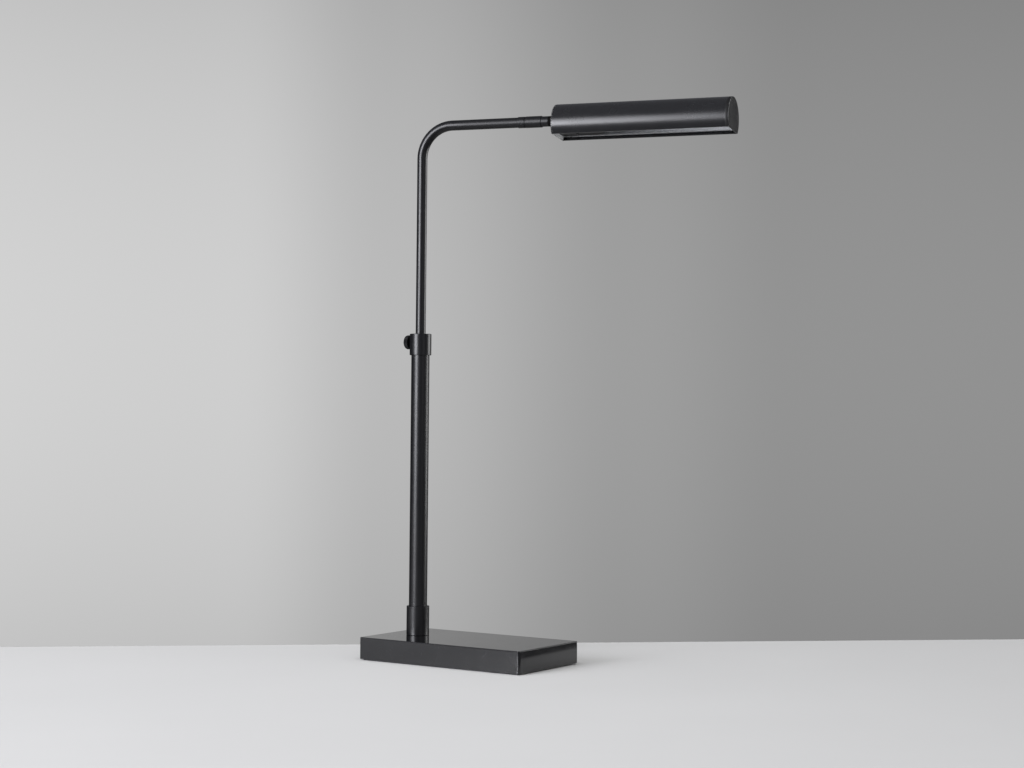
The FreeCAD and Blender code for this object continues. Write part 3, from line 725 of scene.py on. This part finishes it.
# %% Metals and fillings
def zinc_plate():
    """Blue-white plate: 2.5 mm crystal cells vary the colour, fine rolling lines the gloss."""
    finish = new_finish("zinc_steel", Metallic=1.0)
    tree = finish[1]
    place = add_node(tree, "ShaderNodeTexCoord")
    cells = add_node(tree, "ShaderNodeTexVoronoi", Scale=1.0 / (2.5 * MM))
    join(tree, place.outputs["Object"], cells.inputs["Vector"])
    share = add_node(tree, "ShaderNodeSeparateColor")
    join(tree, cells.outputs["Color"], share.inputs[0])
    return dressed(
        finish, share.outputs[0], (0.44, 0.46, 0.49), (0.60, 0.62, 0.65),
        spread(tree, noise(tree, 0.8 * MM, 2.0), *GRAIN, 0.26, 0.42),
        (noise(tree, 0.4 * MM, 1.0), 3 * MICRON))


def dark_screw_steel():
    """Blackened steel of the set screw, worn bright on its rim by the key."""
    finish = new_finish("blackened_steel", Metallic=1.0)
    tree = finish[1]
    return dressed(
        finish, crest_of(tree), (0.045, 0.046, 0.050), (0.20, 0.20, 0.21),
        spread(tree, noise(tree, 0.6 * MM), *GRAIN, 0.30, 0.44),
        (noise(tree, 0.3 * MM, 1.0), 4 * MICRON))


def cast_iron():
    """Dark grey casting: 1.2 mm sand grain 0.12 mm deep, with rusty freckles."""
    material = grained(
        "cast_weight", ((0.055, 0.055, 0.057), (0.12, 0.12, 0.122)), (1.2 * MM, 4.0),
        (0.55, 0.80), 120 * MICRON, Metallic=0.7)
    tree = material.node_tree
    colour = tree.nodes["Principled BSDF"].inputs["Base Color"]
    iron = colour.links[0].from_socket
    freckles = spread(tree, noise(tree, 7 * MM, 4.0), 0.58, 0.70, 0.0, 0.6)
    join(tree, mixed(tree, freckles, iron, (0.16, 0.085, 0.045)), colour)
    return material


def black_felt():
    """Pressed wool: two nets of fibres, one along each axis, 0.15 mm deep."""
    finish = new_finish("black_felt", Sheen_Weight=0.35, Sheen_Roughness=0.6)
    tree = finish[1]
    warp = noise(tree, 0.6 * MM, 3.0, (7.0, 1.0, 1.0))
    weft = noise(tree, 0.6 * MM, 3.0, (1.0, 7.0, 1.0))
    fibres = combined(tree, "MAXIMUM", warp, weft)
    return dressed(
        finish, fibres, (0.008, 0.008, 0.009), (0.045, 0.045, 0.047),
        spread(tree, fibres, 0.4, 0.7, 0.9, 1.0), (fibres, 150 * MICRON))


PLAIN_FILLINGS = {
    "nylon": dict(
        colours=((0.78, 0.77, 0.72), (0.86, 0.85, 0.81)), cloud=(12 * MM, 2.0),
        skin=(0.5 * MM, 1.0, (9.0, 9.0, 1.0)), rough=(0.40, 0.55), depth=6 * MICRON,
        IOR=1.53, Subsurface_Weight=0.15),
    "brass_shoe": dict(
        colours=((0.62, 0.44, 0.16), (0.78, 0.60, 0.28)), cloud=(2 * MM,),
        skin=(0.18 * MM, 1.0, (1.0, 15.0, 15.0)), rough=(0.22, 0.38), depth=6 * MICRON,
        Metallic=1.0),
    "tray_aluminium": dict(
        colours=((0.25, 0.252, 0.260), (0.34, 0.342, 0.350)), IOR=1.5,
        skin=(0.4 * MM, 3.0, (20.0, 3.0, 1.0)), rough=(0.30, 0.46), depth=4 * MICRON),
    "light_chip": dict(
        colours=((0.78, 0.62, 0.14), (0.92, 0.82, 0.36)), skin=(0.3 * MM, 2.0),
        rough=(0.30, 0.45), depth=10 * MICRON, IOR=1.5, Coat_Weight=0.5, Coat_Roughness=0.1),
}

# %% [markdown]
# ## Putting the finishes on
# Each CAD piece names the material slot it takes, so one table from slot to finish dresses
# them all. Three pieces of the shade have a finish of their own on top of that.

# %% Finishes by slot
FINISH = {
    "black_gloss": base_lacquer(),
    "black_satin": black_satin,
    "black_knob": knob_black(),
    "cast_weight": cast_iron(),
    "zinc_steel": zinc_plate(),
    "black_felt": black_felt(),
    "opal_diffuser": opal_guide(),
}
for slot_name, values in {**PLAIN_BLACKS, **PLAIN_FILLINGS}.items():
    FINISH[slot_name] = grained(slot_name, **values)
OWN_FINISH = {"shade_shell": shade_finish, "tip_cap": tip_finish, "arm_end_cap": cap_finish}

for part in frame["record"]["subparts"]:
    node = part["node"]
    NODES[node].data.materials.clear()
    NODES[node].data.materials.append(OWN_FINISH.get(node, FINISH[part["material_slot"]]))
print("finishes:", len(FINISH) + len(OWN_FINISH), "on", len(NODES), "nodes")

# %% [markdown]
# ## Surfaces from rings of points
# The small turned pieces and the base's shell are all the same kind of surface: a closed
# ring of points that changes its size as it moves on, such as a lathe's cut. The points
# are worked out as one array of rows by columns, and one helper joins each ring to the
# next, closes both ends at a middle point, and turns every face outwards. It knows which
# way that is from the signed volume, the sum of a . (b x c) / 6 over all triangles.

# %% Ring surfaces
def ring_surface(name, rings, body, stands_for, sharp=35.0, crest=None):
    """A closed mesh through rings, an array of rows by columns by 3, riding on a body.

    sharp is the angle in degrees above which an edge is shaded sharp, and crest, if
    given, is a value for each ring point that the finish can read.
    """
    rows, columns, _ = rings.shape
    points = np.concatenate([rings.reshape(-1, 3), rings[:1].mean(1), rings[-1:].mean(1)])
    here = np.arange(rows * columns).reshape(rows, columns)
    beside = np.roll(here, -1, axis=1)
    quads = np.stack([here[:-1], beside[:-1], beside[1:], here[1:]], -1).reshape(-1, 4)
    pole = np.full(columns, rows * columns)
    first = np.stack([beside[0], here[0], pole], -1)
    last = np.stack([here[-1], beside[-1], pole + 1], -1)
    thirds = np.concatenate([quads[:, [0, 1, 2]], quads[:, [0, 2, 3]], first, last])
    a, b, c = (points[thirds[:, i]] for i in range(3))
    volume = float((a * np.cross(b, c)).sum() / 6)
    faces = quads.tolist() + first.tolist() + last.tolist()
    if volume < 0:
        faces = [face[::-1] for face in faces]
    mesh = bpy.data.meshes.new(name)
    mesh.from_pydata(points.tolist(), [], faces)
    mesh.polygons.foreach_set("use_smooth", np.ones(len(mesh.polygons), dtype=bool))
    mesh.set_sharp_from_angle(angle=math.radians(sharp))
    if crest is not None:
        values = np.concatenate([crest.ravel(), crest[0].mean()[None], crest[-1].mean()[None]])
        mesh.attributes.new("crest", "FLOAT", "POINT").data.foreach_set("value", values)
    piece = new_object(name, mesh)
    parts = frame["record"]["subparts"]
    slot_name = next(p["material_slot"] for p in parts if p["node"] == stands_for)
    mesh.materials.append(FINISH[slot_name])
    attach(piece, body)
    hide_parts(stands_for)
    print(name, len(faces), "faces,", round(abs(volume) * 1e6, 3), "cm3")
    return piece


def turned_rings(stations, radii, angles, axis, centre):
    """Rings round an axis: centre + s axis + r (u cos t + v sin t), r by station and angle."""
    axis = Vector(axis).normalized()
    helper = Vector((0, 0, 1)) if abs(axis.z) < 0.9 else Vector((1, 0, 0))
    u = np.array(axis.cross(helper).normalized())
    v = np.cross(np.array(axis), u)
    outward = np.cos(angles)[:, None] * u + np.sin(angles)[:, None] * v
    along = np.asarray(stations).reshape(len(stations), 1, 1) * np.array(axis)
    return np.array(centre) + along + radii[..., None] * outward[None]


def full_turn(columns):
    """Evenly spaced angles, once round without repeating the first."""
    return np.arange(columns) * 2 * np.pi / columns


# %% [markdown]
# ## The thumbscrew's head
# The head is a dished disc, knurled with straight grooves so that fingers can turn it. In
# outline it is a lathe profile with two rounded rims. The grooves come from the radius: it
# swings inwards by a cosine, as often as there are grooves, but only on the rim, where the
# profile is near its full radius.

# %% Thumbscrew head
KNURL_COUNT = 30
STEPS_PER_GROOVE = 8
KNURL_DEPTH = 0.5 * MM
RIM_ROUND = 1.4 * MM
DISH_RADIUS = 5.2 * MM
DISH_DEPTH = 1.0 * MM
BACK_DISH_DEPTH = 0.7 * MM
HUB_RADIUS = 3.4 * MM
CENTRE_RADIUS = 0.5 * MM


def rim_profile(radius, thickness):
    """(station, radius) from the middle of the back to the middle of the dished face."""
    turns = np.linspace(0, np.pi / 2, 7)
    sunk = RIM_ROUND * (1 - np.sin(turns))
    round_radius = radius - RIM_ROUND * (1 - np.cos(turns))
    back = np.stack([sunk, round_radius], -1)[::-1]
    face = np.stack([thickness - sunk, round_radius], -1)
    inner = [
        (0.0, CENTRE_RADIUS), (0.0, HUB_RADIUS), (BACK_DISH_DEPTH, HUB_RADIUS + 0.4 * MM),
        (BACK_DISH_DEPTH, radius - RIM_ROUND - 1.2 * MM),
        (0.0, radius - RIM_ROUND - 0.4 * MM)]
    flat = [(z, radius) for z in np.linspace(RIM_ROUND, thickness - RIM_ROUND, 5)[1:-1]]
    outer = [
        (thickness, DISH_RADIUS + 0.3 * MM), (thickness - 0.15 * MM, DISH_RADIUS),
        (thickness - DISH_DEPTH, DISH_RADIUS - DISH_DEPTH),
        (thickness - DISH_DEPTH, CENTRE_RADIUS)]
    return np.array(inner + back.tolist() + flat + face.tolist() + outer)


knob_low, knob_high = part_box("clamp_knob")
knob_radius = (knob_high.y - knob_low.y) / 2
profile = rim_profile(knob_radius, knob_high.x - knob_low.x)
angles = full_turn(KNURL_COUNT * STEPS_PER_GROOVE)
on_rim = np.clip((profile[:, 1] - (knob_radius - RIM_ROUND)) / RIM_ROUND, 0, 1)
groove = 0.5 - 0.5 * np.cos(KNURL_COUNT * angles)
radii = profile[:, 1, None] - KNURL_DEPTH * on_rim[:, None] * groove[None]
knob_place = (knob_high.x, 0.0, centre_of("clamp_knob").z)
ring_surface(
    "thumbscrew_head", turned_rings(profile[:, 0], radii, angles, (-1, 0, 0), knob_place),
    "clamp_screw", "clamp_knob", crest=on_rim[:, None] * (1 - groove[None]))

# %% [markdown]
# ## The thumbscrew's stem
# A screw thread is a radius that rises and falls once per pitch along the stem and drifts
# round by one pitch per turn. That is one formula: the phase is the distance along over
# the pitch, less the angle over a full turn, and the radius falls with a triangle wave of
# the phase. At both ends the thread runs out in a small cone.

# %% Thumbscrew stem
THREAD_PITCH = 0.8 * MM
THREAD_DEPTH = 0.42 * MM
STEPS_PER_PITCH = 8
THREAD_COLUMNS = 32
CONE_SLOPE = 0.6


def threaded_rings(length, radius, axis, centre):
    """Rings with r = radius - depth tri(s / pitch - angle / 2 pi), less a cone at each end."""
    rows = int(round(length / THREAD_PITCH * STEPS_PER_PITCH)) + 1
    stations = np.linspace(0, length, rows)
    angles = full_turn(THREAD_COLUMNS)
    phase = stations[:, None] / THREAD_PITCH - angles[None] / (2 * np.pi)
    wave = np.abs(2 * (phase - np.floor(phase)) - 1)
    end_distance = np.minimum(stations, length - stations)[:, None]
    cone = np.clip(THREAD_PITCH - end_distance, 0, None) * CONE_SLOPE
    return turned_rings(stations, radius - THREAD_DEPTH * wave - cone, angles, axis, centre)


stem_low, stem_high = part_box("clamp_stud")
stem_radius = (stem_high.y - stem_low.y) / 2
stem_start = (stem_high.x, 0.0, centre_of("clamp_stud").z)
ring_surface(
    "thumbscrew_stem",
    threaded_rings(stem_high.x - stem_low.x, stem_radius, (-1, 0, 0), stem_start),
    "clamp_screw", "clamp_stud")

# %% [markdown]
# ## Screws with a key's hole
# The swivel's set screw and the four screws of the bottom plate are driven by a hexagon
# key. The hole is again a ring surface: six-sided rings go down into the screw's face. A
# hexagon's radius at an angle is its half width across flats over the cosine of the angle
# from the middle of the nearest flat.

# %% Hexagon-hole screws
SCREW_COLUMNS = 48
MOUTH_SHARE = 0.12
TIP_DEPTH, TIP_SHARE = 1.15, 0.3
SET_CHAMFER = 0.25 * MM
SET_HOLE_DEPTH = 1.2 * MM


def hexagon(half_across, angles):
    """half / cos(angle from the nearest flat's middle), for flats every 60 degrees."""
    sixth = np.pi / 3
    return half_across / np.cos((angles + sixth / 2) % sixth - sixth / 2)


def key_screw_rings(outside, key_half, key_depth, axis, centre):
    """Rings of a lathe profile, then down a hexagon hole in its last face.

    outside is a list of (station, radius) from the tip to the face's rim. The second
    array is 1 on the rims that a key rubs and 0 elsewhere.
    """
    angles = full_turn(SCREW_COLUMNS)
    around = np.ones(SCREW_COLUMNS)
    face = outside[-1][0]
    rows = [radius * around for _, radius in outside]
    stations = [station for station, _ in outside]
    worn = [0.0] * (len(outside) - 1) + [1.0]
    hole = [
        (0, key_half * (1 + MOUTH_SHARE), 0.6), (key_half * MOUTH_SHARE, key_half, 1.0),
        (key_depth, key_half, 0.0), (key_depth * TIP_DEPTH, key_half * TIP_SHARE, 0.0)]
    for drop, half, wear in hole:
        rows.append(hexagon(half, angles))
        stations.append(face - drop)
        worn.append(wear)
    rings = turned_rings(stations, np.array(rows), angles, axis, centre)
    return rings, np.array(worn)[:, None] * around


# the set screw's own axis runs out from the arm through the middle of its box
screw_middle = centre_of("swivel_screw")
arm_height = joint_named("head_roll")["pos_m"][2]
from_arm = screw_middle - Vector((0, 0, arm_height))
screw_out = (from_arm - arm_axis * from_arm.dot(arm_axis)).normalized()
screw_near, screw_far = reach_of("swivel_screw", screw_out)
screw_left, screw_right = reach_of("swivel_screw", arm_axis)
screw_radius = (screw_right - screw_left) / 2
screw_length = screw_far - screw_near
set_screw_profile = [
    (0.0, 0.6 * screw_radius), (0.3 * MM, screw_radius),
    (screw_length - SET_CHAMFER, screw_radius), (screw_length, screw_radius - SET_CHAMFER)]
rings, worn = key_screw_rings(
    set_screw_profile, 0.5 * screw_radius, SET_HOLE_DEPTH, screw_out,
    screw_middle - screw_out * screw_length / 2)
set_screw = ring_surface("swivel_set_screw", rings, "arm", "swivel_screw", crest=worn)
set_screw.data.materials[0] = dark_screw_steel()

# %% [markdown]
# The plate's four screws are countersunk and alike: one function makes them, and a loop
# over the corners of their common box puts them in place.

# %% Bottom-plate screws
PLATE_HEAD_RADIUS = 3.6 * MM
PLATE_STEM_RADIUS = 2.0 * MM
PLATE_KEY_HALF = 1.25 * MM
PLATE_KEY_DEPTH = 1.4 * MM
screws_low, screws_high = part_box("plate_screws")


def plate_screw_rings(x, y):
    """Rings of one countersunk screw, head down, at a place under the base."""
    length = screws_high.z - screws_low.z
    sink = PLATE_HEAD_RADIUS - PLATE_STEM_RADIUS
    outside = [
        (0.0, 0.5 * PLATE_STEM_RADIUS), (0.5 * PLATE_STEM_RADIUS, PLATE_STEM_RADIUS),
        (length - sink, PLATE_STEM_RADIUS), (length - 0.1 * MM, PLATE_HEAD_RADIUS - 0.05 * MM),
        (length, PLATE_HEAD_RADIUS - 0.15 * MM)]
    start = (x, y, screws_high.z)
    return key_screw_rings(outside, PLATE_KEY_HALF, PLATE_KEY_DEPTH, (0, 0, -1), start)[0]


corner_xs = (screws_low.x + PLATE_HEAD_RADIUS, screws_high.x - PLATE_HEAD_RADIUS)
corner_ys = (screws_low.y + PLATE_HEAD_RADIUS, screws_high.y - PLATE_HEAD_RADIUS)
for number, (x, y) in enumerate([(x, y) for x in corner_xs for y in corner_ys], start=1):
    ring_surface(f"plate_screw_{number}", plate_screw_rings(x, y), "base", "plate_screws")

# %% [markdown]
# ## The base's shell
# The slab is a drawn steel box. Its walls are not quite flat: over the top few millimetres
# they lean in before the edge turns over, because the sheet springs as it leaves the die.
# On a glossy wall even a lean of one degree shows, because it mirrors the light two degrees
# higher up. So the wall stands upright to a height, then its lean grows as 3 t^2 - 2 t^3 to
# the full angle, and from there it runs straight to the round edge. The inset is the sum of
# the lean over the height, which is t^3 - t^4 / 2 while it grows.
#
# Each ring is a rounded rectangle. Next to every arc, on the straight side, stands a
# support point: without it the shading would bend over the whole length of the flat wall.

# %% Base shell
LEAN_HEIGHT = 9.5 * MM
LEAN_ONSET = 0.35
LEAN_ANGLE = math.radians(1.2)
EDGE_ROUND = 0.8 * MM
CORNER_ROUND = 3.0 * MM
SUPPORT = 0.3 * MM
SHELL_WALL = 2.0 * MM
LEAST_ROUND = 0.4 * MM
FOOT_ROUND = 0.3 * MM


def rounded_outline(half_x, half_y, radius, steps=9):
    """Four quarter arcs with a support point before and after each: corner + r (cos, sin)."""
    turns = np.linspace(0, np.pi / 2, steps)
    arc = np.stack([np.cos(turns), np.sin(turns)], -1) * radius
    arc = np.concatenate([arc[:1] - (0, SUPPORT), arc, arc[-1:] - (SUPPORT, 0)])
    corners = []
    for cosine, sine in ((1, 0), (0, 1), (-1, 0), (0, -1)):
        turned = arc @ np.array([[cosine, sine], [-sine, cosine]])
        sign_x, sign_y = cosine - sine, sine + cosine
        corners.append(turned + (sign_x * (half_x - radius), sign_y * (half_y - radius)))
    return np.concatenate(corners)


def slab_rings(low, high, profile, radius):
    """One rounded outline for each (inset, height) of the profile, round the box's middle."""
    middle = (low + high) / 2
    half = (high - low) / 2
    rings = []
    for inset, height in profile:
        corner = max(radius - inset, LEAST_ROUND)
        outline = rounded_outline(half.x - inset, half.y - inset, corner)
        level = np.full((len(outline), 1), height)
        rings.append(np.concatenate([outline + (middle.x, middle.y), level], 1))
    return np.array(rings)


def shell_profile(low, high):
    """(inset, height): up inside, round the foot, up the leaning wall, over the edge."""
    share = np.linspace(0, 1, 15)[1:]
    onset = np.clip(share / LEAN_ONSET, 0, 1)
    lean_inset = math.tan(LEAN_ANGLE) * LEAN_HEIGHT * (
        LEAN_ONSET * (onset ** 3 - onset ** 4 / 2) + np.clip(share - LEAN_ONSET, 0, None))
    edge_start = high - EDGE_ROUND * (1 - math.sin(LEAN_ANGLE))
    lean_level = edge_start - LEAN_HEIGHT * (1 - share)
    turns = np.linspace(LEAN_ANGLE, math.pi / 2, 9)[1:]
    edge_inset = lean_inset[-1] + EDGE_ROUND * (math.cos(LEAN_ANGLE) - np.cos(turns))
    edge_level = edge_start + EDGE_ROUND * (np.sin(turns) - math.sin(LEAN_ANGLE))
    hollow = [
        (SHELL_WALL, high - SHELL_WALL), (SHELL_WALL, low), (FOOT_ROUND, low),
        (0.0, low + FOOT_ROUND)]
    wall = [(0.0, low + 2 * FOOT_ROUND), (0.0, edge_start - LEAN_HEIGHT)]
    leaning = list(zip(lean_inset, lean_level)) + list(zip(edge_inset, edge_level))
    return hollow + wall + leaning + [(edge_inset[-1] + SUPPORT, high)]


shell_low, shell_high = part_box("base_shell")
drawn_shell = ring_surface(
    "drawn_base_shell",
    slab_rings(shell_low, shell_high, shell_profile(shell_low.z, shell_high.z), CORNER_ROUND),
    "base", "base_shell")

# %% [markdown]
# The cord leaves through the back wall, so the shell needs a round hole there. A Boolean
# modifier cuts it and is then applied: a hole in a flat wall has no simple formula as part
# of the rings, and the modifier leaves the other faces as they were.

# %% Hole for the cord
GROMMET_NECK = 4.6 * MM
HOLE_LENGTH = 8 * MM
DRILL_COLUMNS = 40


def round_hole(piece, place, axis, radius, length):
    """Cuts a cylinder of that radius out of a piece, centred on place."""
    rings = turned_rings(
        [-length / 2, length / 2], np.full((2, DRILL_COLUMNS), radius),
        full_turn(DRILL_COLUMNS), axis, place)
    here = np.arange(DRILL_COLUMNS)
    beside = np.roll(here, -1)
    sides = np.stack([here, beside, beside + DRILL_COLUMNS, here + DRILL_COLUMNS], -1)
    ends = [here[::-1].tolist(), (here + DRILL_COLUMNS).tolist()]
    drill = bpy.data.meshes.new("drill")
    drill.from_pydata(rings.reshape(-1, 3).tolist(), [], sides.tolist() + ends)
    cutter = new_object("drill", drill)
    cut = piece.modifiers.new("hole", "BOOLEAN")
    cut.operation = "DIFFERENCE"
    cut.object = cutter
    seen = piece.evaluated_get(bpy.context.evaluated_depsgraph_get())
    mesh = bpy.data.meshes.new_from_object(seen)
    piece.modifiers.clear()
    piece.data = mesh
    mesh.set_sharp_from_angle(angle=math.radians(35.0))
    bpy.data.objects.remove(cutter)
    print(piece.name, "with its hole:", len(mesh.polygons), "faces")


grommet = tuple(centre_of("cord_grommet"))
round_hole(drawn_shell, grommet, (0, 1, 0), GROMMET_NECK, HOLE_LENGTH)

# %% [markdown]
# ## The felt under the base
# The felt is a glued sheet, cut with a knife. Its edge is not sharp: the fibres swell a
# little in the middle of the thickness and the outline wavers by a tenth of a millimetre.
# The same rounded outline serves, with an inset that bulges as a sine over the thickness.

# %% Felt
FELT_SWELL = 0.25 * MM
FELT_WAVER = 0.12 * MM
FELT_RIM = 2 * MM


def felt_rings(low, high):
    """Inset = swell (1 - sin(pi t)) plus a waver from two sines of the ring's angle."""
    share = np.linspace(0, 1, 7)
    inset = FELT_WAVER + FELT_SWELL * (1 - np.sin(np.pi * share))
    profile = list(zip(inset, low.z + (high.z - low.z) * share))
    profile = [(inset[0] + FELT_RIM, low.z), *profile, (inset[-1] + FELT_RIM, high.z)]
    rings = slab_rings(low, high, profile, CORNER_ROUND)
    middle = np.array((low + high) / 2)
    angle = np.arctan2(rings[..., 1] - middle[1], rings[..., 0] - middle[0])
    waver = FELT_WAVER * (np.sin(37 * angle) + np.sin(23 * angle + 1)) / 2
    away = rings[..., :2] - middle[:2]
    rings[..., :2] += away / np.linalg.norm(away, axis=-1, keepdims=True) * waver[..., None]
    return rings


felt_low, felt_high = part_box("felt_pad")
ring_surface("felt_sheet", felt_rings(felt_low, felt_high), "base", "felt_pad", sharp=60.0)
